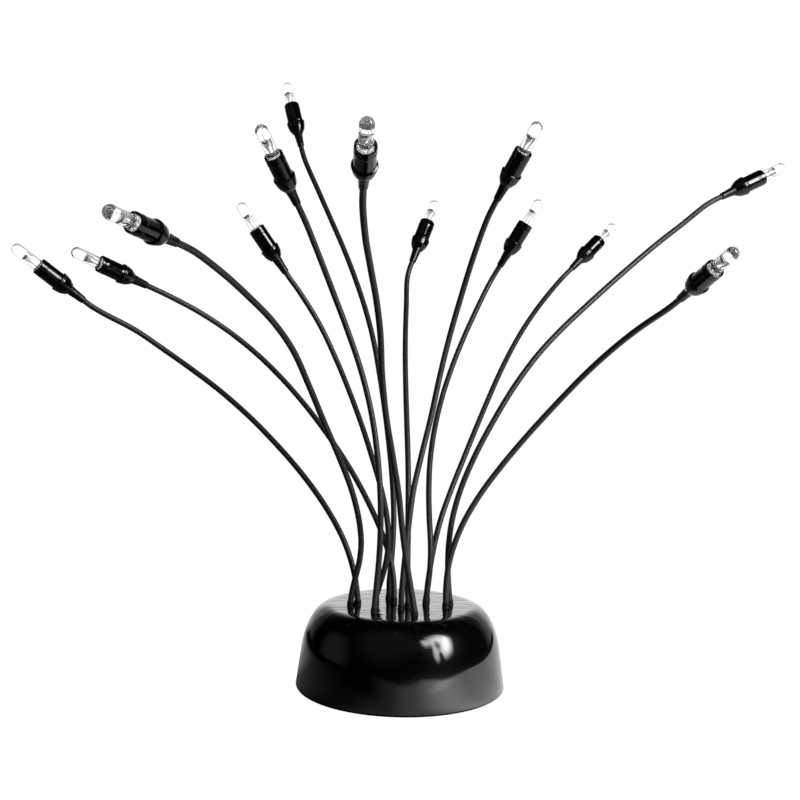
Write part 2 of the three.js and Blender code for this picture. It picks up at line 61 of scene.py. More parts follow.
# way the head points, and the stem's route from its collar in the top to the holder's tail
ARMS = [
    ("01", (-0.6888, -0.425, 0.5873), [(-18.4, -1.6, 36.5), (-19, -0.9, 41.4), (-20, -0.1, 46.7), (-21.8, 1.3, 52.8), (-24.7, 3.4, 60), (-29.4, 6.4, 68.3), (-36.5, 10.7, 78.2), (-45.7, 16.1, 88.8), (-57, 22.2, 100), (-69.7, 27.8, 111.4), (-83.4, 32.3, 122.2), (-95.9, 34.7, 131), (-108.7, 35.1, 139.7), (-121.2, 32, 148.3), (-134.2, 27, 155.4), (-139, 25, 158.4), (-141.8, 23.3, 160.7)]),
    ("02", (-0.7172, -0.6044, 0.3467), [(-3.2, 3.8, 36.5), (-3.3, 4.7, 41.4), (-3.9, 6, 46.7), (-5.3, 7.7, 52.8), (-7.8, 10.2, 60), (-11.7, 13.8, 68.5), (-17.4, 19.1, 78.9), (-24.8, 25.5, 90.3), (-34.1, 32.7, 102.6), (-44.8, 39.5, 115.2), (-56.7, 45, 127.6), (-68.8, 48.3, 138.6), (-82, 48.7, 148.8), (-95.5, 44.5, 157.6), (-108.4, 36.4, 164.6), (-113, 33.3, 166.8), (-115.9, 30.9, 168.2)]),
    ("03", (-0.4096, -0.896, 0.1714), [(-21.2, -5.3, 36.5), (-20.5, -4.5, 41.4), (-19.3, -4.1, 46.7), (-17.9, -3.8, 53.1), (-17.3, -4, 61), (-18.4, -5, 70.9), (-21.5, -7.4, 83.3), (-26.5, -11.4, 96.8), (-32.5, -17.6, 111.5), (-38.2, -25.7, 126.5), (-43.9, -35.3, 140.6), (-50.7, -45, 151.3), (-58.5, -55.8, 160), (-65.8, -68, 167.3), (-73.6, -80.6, 173.7), (-76.6, -85.5, 175.3), (-78.2, -89.1, 176)]),
    ("04", (-0.5548, -0.204, 0.8066), [(-10.9, 4.1, 36.5), (-9.5, 3.5, 41.2), (-8, 3.4, 46.5), (-6.6, 4.2, 52.8), (-6, 6.3, 60.5), (-6.9, 10.2, 69.7), (-9.6, 16.4, 80.8), (-13.7, 24.2, 92.9), (-18.8, 32.9, 106.6), (-25, 40.9, 121.4), (-32, 47, 136.8), (-40.1, 48.9, 152.9), (-49.9, 47.4, 168.2), (-53.5, 46.8, 173), (-55.7, 46, 176.2)]),
    ("05", (-0.3264, -0.6597, 0.677), [(-11, -15.5, 36.5), (-10.6, -15.1, 41.5), (-10.2, -14.6, 46.9), (-9.7, -14, 53.4), (-9.3, -12.9, 61.3), (-9.2, -11.5, 71.2), (-9.7, -9.5, 84), (-11.2, -7.2, 98.8), (-14, -5.3, 115.4), (-18.6, -4.7, 132.8), (-24.6, -6, 149.7), (-30.1, -9, 163.8), (-35.3, -14.5, 177.2), (-40.6, -20.8, 190.5), (-42.7, -23.9, 195.2), (-44, -26.5, 197.9)]),
    ("06", (-0.242, 0.3581, 0.9018), [(-5.3, 9.3, 36.5), (-5.3, 9.8, 41.5), (-4.9, 10.5, 46.9), (-4.4, 11.4, 53.3), (-4, 12.9, 61.2), (-4, 15.2, 70.9), (-4.8, 18.8, 83.4), (-6.4, 23.6, 97.5), (-8.7, 29.8, 113.2), (-11.5, 36.9, 129.4), (-14.8, 44.5, 145.4), (-19.2, 52.1, 160.6), (-24.6, 59.7, 175.4), (-30.7, 67.2, 190), (-37.4, 74.6, 204.4), (-44.1, 82.1, 218.7), (-51, 88.7, 233.4), (-53, 90.6, 238.8), (-54, 92, 242.4)]),
    ("07", (0.0566, -0.9128, 0.4044), [(5.3, -20.1, 36.5), (4.4, -19.9, 41.4), (3.4, -19.7, 46.8), (2.2, -19.7, 53.2), (0.9, -19.8, 61.1), (-0.5, -20.3, 71), (-2, -21.7, 83.8), (-4.5, -24.2, 98.4), (-7.4, -28.6, 114.6), (-9.3, -35.1, 131.2), (-10.1, -43.7, 147), (-11.6, -52.6, 159.3), (-13.7, -62.8, 170.6), (-15.4, -74.3, 180.4), (-16.1, -86.4, 189.9), (-15.9, -91.5, 193.1), (-15.7, -95.2, 194.7)]),
    ("08", (0.3019, 0.432, 0.8498), [(2.8, -4.9, 36.5), (2.6, -4.6, 41.5), (2.4, -3.9, 46.9), (2.3, -2.6, 53.3), (2.3, -0.4, 61), (2.2, 3.1, 70.3), (2.1, 8.7, 82.1), (1.7, 16.2, 95.1), (1, 25.5, 109.3), (0.3, 35.9, 123.9), (-0.2, 46.5, 138.5), (-0.3, 55.8, 151), (-0.1, 65.7, 163.1), (0.1, 74.5, 176.1), (1.2, 76.8, 181.5), (2.4, 78.5, 184.9)]),
    ("09", (0.3824, -0.5513, 0.7415), [(-0.1, -9.8, 36.5), (0, -9.7, 41.5), (0.4, -9.3, 47), (0.9, -8.6, 53.4), (1.7, -7.4, 61.3), (2.6, -5.3, 71), (4.2, -2.1, 83.5), (7.3, 1.9, 97.6), (11.1, 6.2, 113.6), (14.6, 9.8, 130.9), (18.6, 11.8, 148.3), (23, 11.6, 164.9), (27.5, 8.2, 181), (32.6, 2.8, 196.6), (34.8, 0.3, 201.6), (36.3, -1.9, 204.6)]),
    ("10", (0.5021, -0.0763, 0.8614), [(10.4, 0.1, 36.5), (11, 0.1, 41.5), (11.6, 0.6, 46.9), (12, 1.8, 53.3), (11.9, 4.1, 60.9), (11.3, 8.1, 70.1), (11, 14.4, 81.4), (11.6, 22.6, 94), (13.7, 32.6, 107.5), (17.3, 43.4, 121.5), (22.1, 53.8, 135.3), (27.5, 63.2, 148.3), (33.6, 72, 161.5), (40.4, 80.2, 175.2), (43.3, 81, 180.4), (45.3, 80.7, 183.8)]),
    ("11", (0.6497, 0.3784, 0.6593), [(10.8, 8.4, 36.5), (11.2, 8.4, 41.5), (11.9, 8.8, 46.9), (12.9, 9.9, 53.3), (14.4, 12, 60.8), (16.9, 15.6, 69.8), (21, 21.6, 80.5), (26.1, 29.6, 92.2), (31.8, 39.7, 104.7), (37.8, 50.9, 117.3), (44, 62.5, 129.7), (49.9, 72.8, 140.4), (56.4, 83, 150.9), (63.7, 93, 161.1), (71.4, 103.3, 170.5), (79.8, 113.3, 179.8), (83.6, 116, 183.7), (86.2, 117.5, 186.3)]),
    ("12", (0.8669, 0.2343, 0.4399), [(20.5, 1, 36.5), (19.9, 0.7, 41.5), (19.5, 0.5, 46.9), (19.3, 0.4, 53.4), (19.6, 0.6, 61.4), (20.9, 1.1, 71.3), (24.3, 2.3, 83.8), (30, 4.3, 97.5), (37.8, 7.5, 112.3), (46.9, 11.7, 127.2), (57.3, 16.8, 141), (68.3, 22.1, 152.6), (80, 27.9, 163.4), (91.7, 34, 173.8), (103.6, 40.4, 184), (115.6, 47.1, 193.8), (127.8, 54.3, 203.1), (139.8, 61.8, 212.5), (144.6, 63.8, 215.5), (148.1, 64.7, 217.3)]),
    ("13", (0.3045, -0.8518, 0.4264), [(18.6, -4.1, 36.5), (18.5, -4.2, 41.5), (18.8, -4.1, 47), (19.7, -3.8, 53.4), (21.8, -3.1, 61.1), (25.6, -1.9, 70.3), (32.1, -0.2, 81.4), (40.9, 1.6, 93.4), (51.6, 2.6, 106.5), (63.3, 1.6, 120.1), (74.8, -2.5, 133.3), (84.4, -9.1, 143.6), (92.9, -18.9, 152.1), (100.4, -30.8, 158.9), (102.7, -35.7, 161.4), (103.9, -39.1, 163.1)]),]
FOOT = {nn: route[0] for nn, axis, route in ARMS}


# ------------------------------------------------------------------ materials
class Nodes:
    """A material's node tree, with short helpers."""

    def __init__(self, name):
        self.mat = bpy.data.materials.new(name)
        self.mat.use_nodes = True
        self.tree = self.mat.node_tree
        self.bsdf = self.tree.nodes["Principled BSDF"]
        self.coord = self.add("ShaderNodeTexCoord").outputs["Object"]

    def add(self, kind):
        return self.tree.nodes.new(kind)

    def link(self, a, b):
        self.tree.links.new(a, b)

    def noise(self, scale, detail=3.0, rough=0.55, distortion=0.0, vector=None):
        n = self.add("ShaderNodeTexNoise")
        n.inputs["Scale"].default_value = scale
        n.inputs["Detail"].default_value = detail
        n.inputs["Roughness"].default_value = rough
        n.inputs["Distortion"].default_value = distortion
        self.link(vector or self.coord, n.inputs["Vector"])
        return n.outputs["Fac"]

    def stretch(self, x, y, z):
        m = self.add("ShaderNodeMapping")
        m.inputs["Scale"].default_value = (x, y, z)
        self.link(self.coord, m.inputs["Vector"])
        return m.outputs["Vector"]

    def span(self, value, low, high, to_low, to_high):
        m = self.add("ShaderNodeMapRange")
        m.interpolation_type = "SMOOTHSTEP"
        m.inputs["From Min"].default_value = low
        m.inputs["From Max"].default_value = high
        m.inputs["To Min"].default_value = to_low
        m.inputs["To Max"].default_value = to_high
        self.link(value, m.inputs["Value"])
        return m.outputs["Result"]

    def ramp(self, value, stops):
        r = self.add("ShaderNodeValToRGB")
        e = r.color_ramp.elements
        while len(e) < len(stops):
            e.new(0.5)
        for slot, (at, c) in zip(e, stops):
            slot.position = at
            slot.color = (c[0], c[1], c[2], 1.0)
        self.link(value, r.inputs["Fac"])
        return r.outputs["Color"]

    def maths(self, op, a, b):
        m = self.add("ShaderNodeMath")
        m.operation = op
        for i, v in enumerate((a, b)):
            if isinstance(v, (int, float)):
                m.inputs[i].default_value = v
            else:
                self.link(v, m.inputs[i])
        return m.outputs[0]

    def bump(self, height, strength, distance, normal=None):
        b = self.add("ShaderNodeBump")
        b.inputs["Strength"].default_value = strength
        b.inputs["Distance"].default_value = distance
        self.link(height, b.inputs["Height"])
        if normal is not None:
            self.link(normal, b.inputs["Normal"])
        return b.outputs["Normal"]

    def set(self, **values):
        for k, v in values.items():
            name = k.replace("_", " ")
            if hasattr(v, "links") or hasattr(v, "is_output"):
                self.link(v, self.bsdf.inputs[name])
            else:
                self.bsdf.inputs[name].default_value = v
        return self


def gloss_black():
    n = Nodes("gloss_black")
    drift = n.noise(38, 3, 0.5)
    fine = n.noise(900, 4, 0.6)
    colour = n.ramp(drift, [(0.3, (0.0006, 0.0006, 0.0007)), (0.7, (0.0010, 0.0010, 0.0011))])
    haze = n.maths("ADD", n.span(drift, 0.35, 0.7, 0.028, 0.045), n.span(fine, 0.45, 0.75, 0.0, 0.022))
    wave = n.bump(n.noise(48, 2, 0.45, 0.4), 0.035, 0.0012)
    # uneven polishing rings about the axis, only on the top and the turn into it
    part = n.add("ShaderNodeSeparateXYZ")
    n.link(n.coord, part.inputs[0])
    x, y, z = part.outputs["X"], part.outputs["Y"], part.outputs["Z"]
    out = n.maths("SQRT", n.maths("ADD", n.maths("MULTIPLY", x, x), n.maths("MULTIPLY", y, y)), 0.0)
    turned = n.add("ShaderNodeCombineXYZ")
    n.link(n.maths("MULTIPLY", out, 1.0), turned.inputs[0])
    n.link(n.maths("MULTIPLY", n.maths("ARCTAN2", x, y), 0.0016), turned.inputs[1])
    n.link(n.maths("MULTIPLY", z, 0.7), turned.inputs[2])
    rings = n.noise(240, 3, 0.55, 0.5, turned.outputs[0])
    cloud = n.noise(70, 2, 0.5, 0.6, n.stretch(1.0, 2.6, 1.0))
    height = n.maths("MULTIPLY", n.maths("ADD", n.maths("MULTIPLY", rings, 0.6), n.maths("MULTIPLY", cloud, 1.6)),
                     n.span(z, 0.025, 0.033, 0.0, 1.0))
    wave = n.bump(height, 0.5, 0.00030, wave)
    n.set(Base_Color=colour, Roughness=haze, Normal=wave, IOR=1.52, Coat_Weight=0.12, Coat_Roughness=0.27, Coat_IOR=1.5)
    return n.mat


def stem_sleeve():
    n = Nodes("stem_sleeve")
    patch = n.noise(190, 4, 0.6)
    grain = n.noise(2600, 3, 0.65)
    colour = n.ramp(patch, [(0.3, (0.013, 0.013, 0.0135)), (0.72, (0.021, 0.021, 0.0215))])
    rough = n.maths("ADD", n.span(patch, 0.3, 0.7, 0.44, 0.50), n.span(grain, 0.35, 0.7, 0.0, 0.02))
    skin = n.bump(grain, 0.015, 0.00004)
    skin = n.bump(n.noise(260, 2, 0.5), 0.05, 0.0002, skin)
    n.set(Base_Color=colour, Roughness=rough, Normal=skin, IOR=1.45, Specular_IOR_Level=0.75)
    return n.mat


def holder_black():
    n = Nodes("holder_black")
    patch = n.noise(260, 3, 0.55)
    colour = n.ramp(patch, [(0.3, (0.0008, 0.0008, 0.0009)), (0.7, (0.0016, 0.0016, 0.0018))])
    rough = n.maths("ADD", n.span(patch, 0.35, 0.7, 0.07, 0.12), n.span(n.noise(3200, 3, 0.6), 0.4, 0.75, 0.0, 0.03))
    skin = n.bump(n.noise(330, 2, 0.5, 0.5), 0.06, 0.00025)
    n.set(Base_Color=colour, Roughness=rough, Normal=skin, IOR=1.6)
    return n.mat


def tail_black():
    n = Nodes("tail_sleeve")
    patch = n.noise(300, 4, 0.6)
    grain = n.noise(2100, 3, 0.6)
    colour = n.ramp(patch, [(0.3, (0.0010, 0.0010, 0.0011)), (0.7, (0.0020, 0.0020, 0.0022))])
    rough = n.maths("ADD", n.span(patch, 0.3, 0.7, 0.24, 0.34), n.span(grain, 0.4, 0.7, 0.0, 0.08))
    skin = n.bump(n.noise(520, 3, 0.55, 0.6), 0.35, 0.00025, n.bump(grain, 0.15, 0.00005))
    n.set(Base_Color=colour, Roughness=rough, Normal=skin, IOR=1.48)
    return n.mat


def black_rubber(name="black_rubber", low=0.32, high=0.48):
    n = Nodes(name)
    patch = n.noise(240, 4, 0.6)
    grain = n.noise(1900, 3, 0.65)
    colour = n.ramp(patch, [(0.3, (0.0009, 0.0009, 0.0010)), (0.7, (0.0020, 0.0020, 0.0020))])
    rough = n.maths("ADD", n.span(patch, 0.3, 0.7, low, high), n.span(grain, 0.4, 0.75, 0.0, 0.1))
    skin = n.bump(grain, 0.25, 0.00008, n.bump(n.noise(480, 2, 0.5), 0.3, 0.0003))
    n.set(Base_Color=colour, Roughness=rough, Normal=skin, IOR=1.47)
    return n.mat


def matt_black():
    n = Nodes("matt_black")
    patch = n.noise(60, 4, 0.6)
    grain = n.noise(2400, 4, 0.7)
    colour = n.ramp(patch, [(0.3, (0.0085, 0.0085, 0.0090)), (0.7, (0.0140, 0.0140, 0.0145))])
    rough = n.span(grain, 0.35, 0.7, 0.42, 0.6)
    n.set(Base_Color=colour, Roughness=rough, Normal=n.bump(grain, 0.35, 0.00009), IOR=1.5)
    return n.mat


def lens_clear():
    n = Nodes("lens_clear")
    cloud = n.noise(420, 3, 0.5)
    colour = n.ramp(cloud, [(0.3, (0.985, 0.988, 0.992)), (0.7, (1.0, 1.0, 1.0))])
    rough = n.span(cloud, 0.4, 0.75, 0.0, 0.018)
    n.set(Base_Color=colour, Roughness=rough, Normal=n.bump(n.noise(350, 2, 0.5), 0.05, 0.0002),
          IOR=1.53, Transmission_Weight=0.93)
    return n.mat


def lead_metal():
    n = Nodes("lead_frame")
    patch = n.noise(1500, 3, 0.55)
    colour = n.ramp(patch, [(0.3, (0.52, 0.52, 0.52)), (0.7, (0.72, 0.72, 0.71))])
    rough = n.span(patch, 0.3, 0.7, 0.16, 0.34)
    n.set(Base_Color=colour, Roughness=rough, Normal=n.bump(patch, 0.12, 0.00005), Metallic=1.0)
    return n.mat


# painted shade: a dull dark grey put on the sideways faces of the lead frame's upper rim in place of the frame's metal
def lead_rim_painted_shade():
    n = Nodes("lead_rim_painted_shade")
    patch = n.noise(1700, 3, 0.55)
    colour = n.ramp(patch, [(0.3, (0.05, 0.05, 0.05)), (0.7, (0.10, 0.10, 0.10))])
    n.set(Base_Color=colour, Roughness=n.span(patch, 0.3, 0.7, 0.3, 0.45), Normal=n.bump(patch, 0.12, 0.00005))
    return n.mat


def potting():
    n = Nodes("potting_resin")
    patch = n.noise(900, 4, 0.6)
    colour = n.ramp(patch, [(0.3, (0.50, 0.50, 0.50)), (0.7, (0.88, 0.88, 0.87))])
    n.set(Base_Color=colour, Roughness=n.span(patch, 0.3, 0.7, 0.2, 0.4), Normal=n.bump(patch, 0.4, 0.0002), IOR=1.5)
    return n.mat


# the die's own pale colour, also put on the cup's inside and the frame's top faces as painted light
def die_and_cup_light():
    n = Nodes("die_and_painted_cup_light")
    patch = n.noise(3000, 3, 0.6)
    colour = n.ramp(patch, [(0.3, (0.76, 0.75, 0.68)), (0.7, (0.90, 0.89, 0.83))])
    n.set(Base_Color=colour, Roughness=n.span(patch, 0.3, 0.7, 0.35, 0.55), Normal=n.bump(patch, 0.2, 0.00005))
    return n.mat


def cast_weight():
    n = Nodes("cast_weight")
    patch = n.noise(70, 5, 0.62)
    grain = n.noise(1400, 4, 0.7)
    colour = n.ramp(patch, [(0.3, (0.11, 0.11, 0.115)), (0.7, (0.23, 0.23, 0.235))])
    n.set(Base_Color=colour, Metallic=1.0, Roughness=n.span(grain, 0.3, 0.7, 0.42, 0.66),
          Normal=n.bump(grain, 0.5, 0.0002, n.bump(patch, 0.3, 0.0006)))
    return n.mat


def board_green():
    n = Nodes("board_green")
    patch = n.noise(120, 3, 0.5)
    weave = n.add("ShaderNodeTexWave")
    weave.inputs["Scale"].default_value = 420
    weave.inputs["Distortion"].default_value = 1.2
    n.link(n.coord, weave.inputs["Vector"])
    colour = n.ramp(patch, [(0.3, (0.008, 0.060, 0.022)), (0.7, (0.014, 0.105, 0.040))])
    n.set(Base_Color=colour, Roughness=n.span(patch, 0.3, 0.7, 0.24, 0.38),
          Normal=n.bump(weave.outputs["Fac"], 0.12, 0.00006))
    return n.mat


def screw_steel():
    n = Nodes("screw_steel")
    streak = n.noise(260, 4, 0.6, 0.0, n.stretch(6, 6, 0.6))
    colour = n.ramp(streak, [(0.3, (0.42, 0.42, 0.43)), (0.7, (0.60, 0.60, 0.60))])
    n.set(Base_Color=colour, Metallic=1.0, Roughness=n.span(streak, 0.3, 0.7, 0.22, 0.4),
          Normal=n.bump(streak, 0.15, 0.00008))
    return n.mat


M_GLOSS = gloss_black()
M_SLEEVE = stem_sleeve()
M_HOLDER = holder_black()
M_TAIL = tail_black()
M_RUBBER = black_rubber("black_rubber", 0.5, 0.64)
M_PAD = black_rubber("pad_rubber", 0.6, 0.78)
M_MATT = matt_black()
M_LENS = lens_clear()
M_LEAD = lead_metal()
M_RIM_SHADE = lead_rim_painted_shade()
M_POT = potting()
M_DIE_AND_CUP_LIGHT = die_and_cup_light()


# -------------------------------------------------------------------- helpers
def finish_mesh(bm, name, mats, sharp_deg=32.0, edges_sharp=True):
    """Points the faces out, marks the sharp edges and makes the object."""
    bmesh.ops.recalc_face_normals(bm, faces=bm.faces[:])
    limit = math.radians(sharp_deg)
    for f in bm.faces:
        f.smooth = True
    for e in bm.edges:
        if len(e.link_faces) == 2:
            e.smooth = e.calc_face_angle(0.0) < limit
    me = bpy.data.meshes.new(name)
    bm.to_mesh(me)
    bm.free()
    for m in mats:
        me.materials.append(m)
    ob = bpy.data.objects.new(name, me)
    scene.collection.objects.link(ob)
    return ob


def lathe(bm, profile, sides, place=Matrix.Identity(4), mat=0, shape=None):
    """Turns [radius, height] pairs (mm) about Z. A profile that doesn't start and end on the axis closes on itself.
    shape(r, z, angle) may return another radius."""
    ring_rows = []
    closed = not (profile[0][0] == 0 and profile[-1][0] == 0)
    for r, z in profile:
        if r == 0:
            ring_rows.append([bm.verts.new(place @ Vector((0, 0, z * MM)))])
            continue
        row = []
        for i in range(sides):
            a = 2 * math.pi * i / sides
            rr = shape(r, z, a) if shape else r
            row.append(bm.verts.new(place @ Vector((rr * math.cos(a) * MM, rr * math.sin(a) * MM, z * MM))))
        ring_rows.append(row)
    pairs = list(zip(ring_rows, ring_rows[1:]))
    if closed:
        pairs.append((ring_rows[-1], ring_rows[0]))
    for a, b in pairs:
        for i in range(sides):
            j = (i + 1) % sides
            if len(a) == 1 and len(b) == 1:
                continue
            if len(a) == 1:
                f = bm.faces.new((a[0], b[i], b[j]))
            elif len(b) == 1:
                f = bm.faces.new((a[i], b[0], a[j]))
            else:
                f = bm.faces.new((a[i], b[i], b[j], a[j]))
            f.material_index = mat
    return ring_rows


def arc(cx, cy, r, a0, a1, n):
    """Points of a small rounding in a profile (degrees, both ends included)."""
    return [(cx + r * math.cos(math.radians(a0 + (a1 - a0) * i / n)),
             cy + r * math.sin(math.radians(a0 + (a1 - a0) * i / n))) for i in range(n + 1)]


def smooth_line(points, steps):
    """A finer profile through these points (centripetal spline), ends kept."""
    return [(p.x, p.y) for p in spline([Vector((x, y, 0)) for x, y in points], steps)]


def spline(q, per):
    """The open centripetal curve through the points q, per steps in each span."""
    out, n = [], len(q)
    for i in range(n - 1):
        p1, p2 = q[i], q[i + 1]
        p0 = q[i - 1] if i > 0 else 2 * q[0] - q[1]
        p3 = q[i + 2] if i + 2 < n else 2 * q[-1] - q[-2]
        d0, d1, d2 = (math.sqrt((b - a).length) for a, b in ((p0, p1), (p1, p2), (p2, p3)))
        d1 = d1 if d1 > 1e-4 else 1.0
        d0 = d0 if d0 > 1e-4 else d1
        d2 = d2 if d2 > 1e-4 else d1
        t1 = ((p1 - p0) / d0 - (p2 - p0) / (d0 + d1) + (p2 - p1) / d1) * d1
        t2 = ((p2 - p1) / d1 - (p3 - p1) / (d1 + d2) + (p3 - p2) / d2) * d1
        for k in range(per):
            w = k / per
            out.append(p1 + t1 * w + (-3 * p1 + 3 * p2 - 2 * t1 - t2) * w * w
                       + (2 * p1 - 2 * p2 + t1 + t2) * w ** 3)
    out.append(q[-1].copy())
    return out


def by_length(points):
    s = [0.0]
    for a, b in zip(points, points[1:]):
        s.append(s[-1] + (b - a).length)
    return s


def point_at(points, s, at):
    lo, hi = 0, len(s) - 1
    while hi - lo > 1:
        mid = (lo + hi) // 2
        if s[mid] <= at:
            lo = mid
        else:
            hi = mid
    t = (at - s[lo]) / max(1e-9, s[hi] - s[lo])
    return points[lo].lerp(points[hi], min(1.0, max(0.0, t)))


# --------------------------------------------------------------------- camera
cam_data = bpy.data.cameras.new("camera")
cam_data.lens = 49.5
cam_data.sensor_width = 36.0
cam_data.sensor_fit = "HORIZONTAL"
cam_data.clip_start = 0.01
camera = bpy.data.objects.new("camera", cam_data)
camera.location = (-0.002231, -0.46053, 0.14054)
camera.rotation_euler = (Matrix.Rotation(math.radians(87.536), 4, "X") @ Matrix.Rotation(math.radians(1.12), 4, "Z")).to_euler()
scene.collection.objects.link(camera)
scene.camera = camera


# ----------------------------------------------------------------- base shell
def shoulder(foot, top, flat, steps):
    """A drafted wall from the foot that turns in above WALL_TOP, ever faster, to the flat top."""
    reach = foot - (top - 0.4) * WALL_DRAFT - flat
    p = []
    for i in range(steps + 1):
        u = math.sin((math.pi / 2) * i / steps)
        z = WALL_TOP + (top - WALL_TOP) * u
        p.append((foot - (z - 0.4) * WALL_DRAFT - reach * (1 - max(0.0, 1 - u * u) ** (1 / 2.6)), z))
    return p


def outer_profile():
    p = [(FOOT_RADIUS - 1.0, 0.4)] + arc(FOOT_RADIUS - 0.9, 1.2, 0.8, -80, 7.8, 6)[1:]
    for i in range(1, 9):
        z = 2.0 + (WALL_TOP - 2.0) * i / 9
        p.append((FOOT_RADIUS - (z - 0.4) * WALL_DRAFT, z))
    return p + shoulder(FOOT_RADIUS, BASE_HEIGHT, FLAT_TOP_RADIUS, 46)


def base_shell():
    outer = outer_profile()
    prof = list(outer)
    top = prof[-1][0]
    prof += [(top - 0.35, BASE_HEIGHT), (top - 0.8, BASE_HEIGHT), (top - 1.6, BASE_HEIGHT), (0, BASE_HEIGHT)]
    # under side: back from the axis by the screw boss and the inner wall
    inner_top = BASE_HEIGHT - SHELL_WALL
    inner = [(0, 16), (1.55, 16), (1.55, 6.1), (1.75, 5.6), (2.8, 5.6), (3, 5.8), (3, inner_top - 0.8), (3.3, inner_top - 0.25),
             (3.8, inner_top)]
    inner += shoulder(FOOT_RADIUS - SHELL_WALL, inner_top, FLAT_TOP_RADIUS - 1, 26)[::-1]
    inner += [(FOOT_RADIUS - SHELL_WALL - 0.35, 3.3), (FOOT_RADIUS - SHELL_WALL - 0.1, 0.4)]
    profile = inner + prof
    bm = bmesh.new()
    lathe(bm, profile, 160)
    shell = finish_mesh(bm, "base_body", [M_GLOSS])
    # a hole for each stem and one for the inlet grommet
    bm = bmesh.new()
    for nn, (x, y, z) in FOOT.items():
        lathe(bm, [(0, 28), (1.8, 28), (1.8, 37), (0, 37)], 32, Matrix.Translation((x * MM, y * MM, 0)))
    turn = Matrix.Translation((0, 0, 7.2 * MM)) @ Matrix.Rotation(-math.pi / 2, 4, "X")
    lathe(bm, [(0, 36), (3.35, 36), (3.35, 50), (0, 50)], 40, turn)
    cutter = finish_mesh(bm, "cutter", [M_GLOSS])
    mod = shell.modifiers.new("holes", "BOOLEAN")
    mod.operation = "DIFFERENCE"
    mod.solver = "MANIFOLD"
    mod.object = cutter
    bpy.context.view_layer.objects.active = shell
    bpy.context.view_layer.update()
    done = bpy.data.meshes.new_from_object(shell.evaluated_get(bpy.context.evaluated_depsgraph_get()))
    shell.modifiers.clear()
    shell.data = done
    bpy.data.objects.remove(cutter)
    bm = bmesh.new()
    bm.from_mesh(done)
    bmesh.ops.remove_doubles(bm, verts=bm.verts[:], dist=1e-6)
    limit = math.radians(30)
    for e in bm.edges:
        if len(e.link_faces) == 2:
            e.smooth = e.calc_face_angle(0.0) < limit
    for f in bm.faces:
        f.smooth = True
    bm.to_mesh(done)
    bm.free()
    shell.name = "base_body"
    return shell


shell = base_shell()
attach(shell, "base")
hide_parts("base_shell")


# ------------------------------------------------------------ seal and collars
def collars():
    mat_top = BASE_HEIGHT - SHELL_WALL - 0.3
    bm = bmesh.new()
    lathe(bm, [(3.4, mat_top - 1.7), (3.7, mat_top - 2), (26.1, mat_top - 2), (26.5, mat_top - 1.6),
               (26.5, mat_top - 0.4), (26.1, mat_top), (3.7, mat_top), (3.4, mat_top - 0.3)], 96)
    h = BASE_HEIGHT
    body = smooth_line([(1.77, h - 0.05), (1.66, h + 0.03), (1.54, h + 0.12), (1.49, h + 0.4), (1.48, h + 0.8), (1.51, h + 1.15),
                        (1.52, h + 1.45), (1.50, h + 1.68), (1.46, h + 1.75)], 3)
    for k, (nn, (x, y, z)) in enumerate(FOOT.items()):
        seed = 3.7 * k

        def uneven(r, zz, a, seed=seed):
            if zz < h + 0.3 or r < 1.45:
                return r
            v = noise.noise(Vector((1.3 * math.cos(a), 1.3 * math.sin(a), 0.9 * zz + seed)))
            return r * (1 + 0.03 * v)

        prof = [(1.77, mat_top - 1.2), (1.77, h - 0.25)] + body + [(1.42, h + 1.72), (1.415, h + 1.3), (1.33, h + 1.1), (1.33, mat_top - 1.2)]
        lathe(bm, prof, 40, Matrix.Translation((x * MM, y * MM, 0)), shape=uneven)
    return finish_mesh(bm, "stem_collars", [M_RUBBER], 40)


seal = collars()
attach(seal, "base")
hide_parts("stem_seal")


# ---------------------------------------------------------- underside and inlet
def foot_pad():
    p = [(0, 1.0), (35.2, 1.0), (35.8, 0.8), (36, 0.5), (35.9, 0.15), (35.4, 0.0), (33.6, 0.0)]
    for r in (33.2, 29.2, 25.2, 21.2, 17.2, 13.2):      # moulded grip rings
        p += [(r, 0.0), (r - 0.15, 0.3), (r - 0.65, 0.3), (r - 0.8, 0.0)]
    p += [(4.6, 0.0), (4.3, 0.25), (0, 0.25)]
    bm = bmesh.new()
    lathe(bm, p, 120)
    return finish_mesh(bm, "foot_pad_ribbed", [M_PAD])


def base_plate():
    p = [(3.2, 1.3), (36.4, 1.3), (36.7, 1.55), (37.6, 1.55), (37.9, 1.3), (40.6, 1.3), (41, 1.6), (41, 3.0), (40.7, 3.3),
         (38.2, 3.3), (6.3, 3.3), (6, 3.6), (6, 5.0), (5.7, 5.3), (1.9, 5.3), (1.7, 5.1), (1.7, 3.3), (3.2, 3.3)]
    bm = bmesh.new()
    lathe(bm, p, 120)
    return finish_mesh(bm, "bottom_plate", [M_MATT])


def gland():
    p = [(1.7, 37.5), (2.6, 37.5), (3.0, 37.9), (3.0, 40.4), (3.55, 40.9), (3.55, 41.2), (3.0, 41.5), (3.0, 43.6), (3.2, 44.0),
         (4.35, 44.0), (4.6, 44.25), (4.6, 44.9), (4.3, 45.2), (3.7, 45.25), (3.35, 45.5), (3.15, 45.9), (2.9, 46.0),
         (2.0, 46.0), (1.7, 45.7)]
    p = [(r if z > 43 or r <= 3.0 else 3.0, z) for r, z in p]
    bm = bmesh.new()
    turn = Matrix.Translation((0, 0, 7.2 * MM)) @ Matrix.Rotation(-math.pi / 2, 4, "X")
    lathe(bm, p, 64, turn)
    return finish_mesh(bm, "inlet_grommet", [M_RUBBER])


for piece, node, slot in ((foot_pad(), "foot_pad", "black_rubber"), (base_plate(), "base_plate", "matt_black"),
                          (gland(), "cable_gland", "black_rubber")):
    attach(piece, "base")
    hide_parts(node)

for node, mat in (("ballast_weight", cast_weight()), ("circuit_board", board_green()), ("centre_screw", screw_steel())):
    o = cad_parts[node]
    o.data.materials.clear()
    o.data.materials.append(mat)


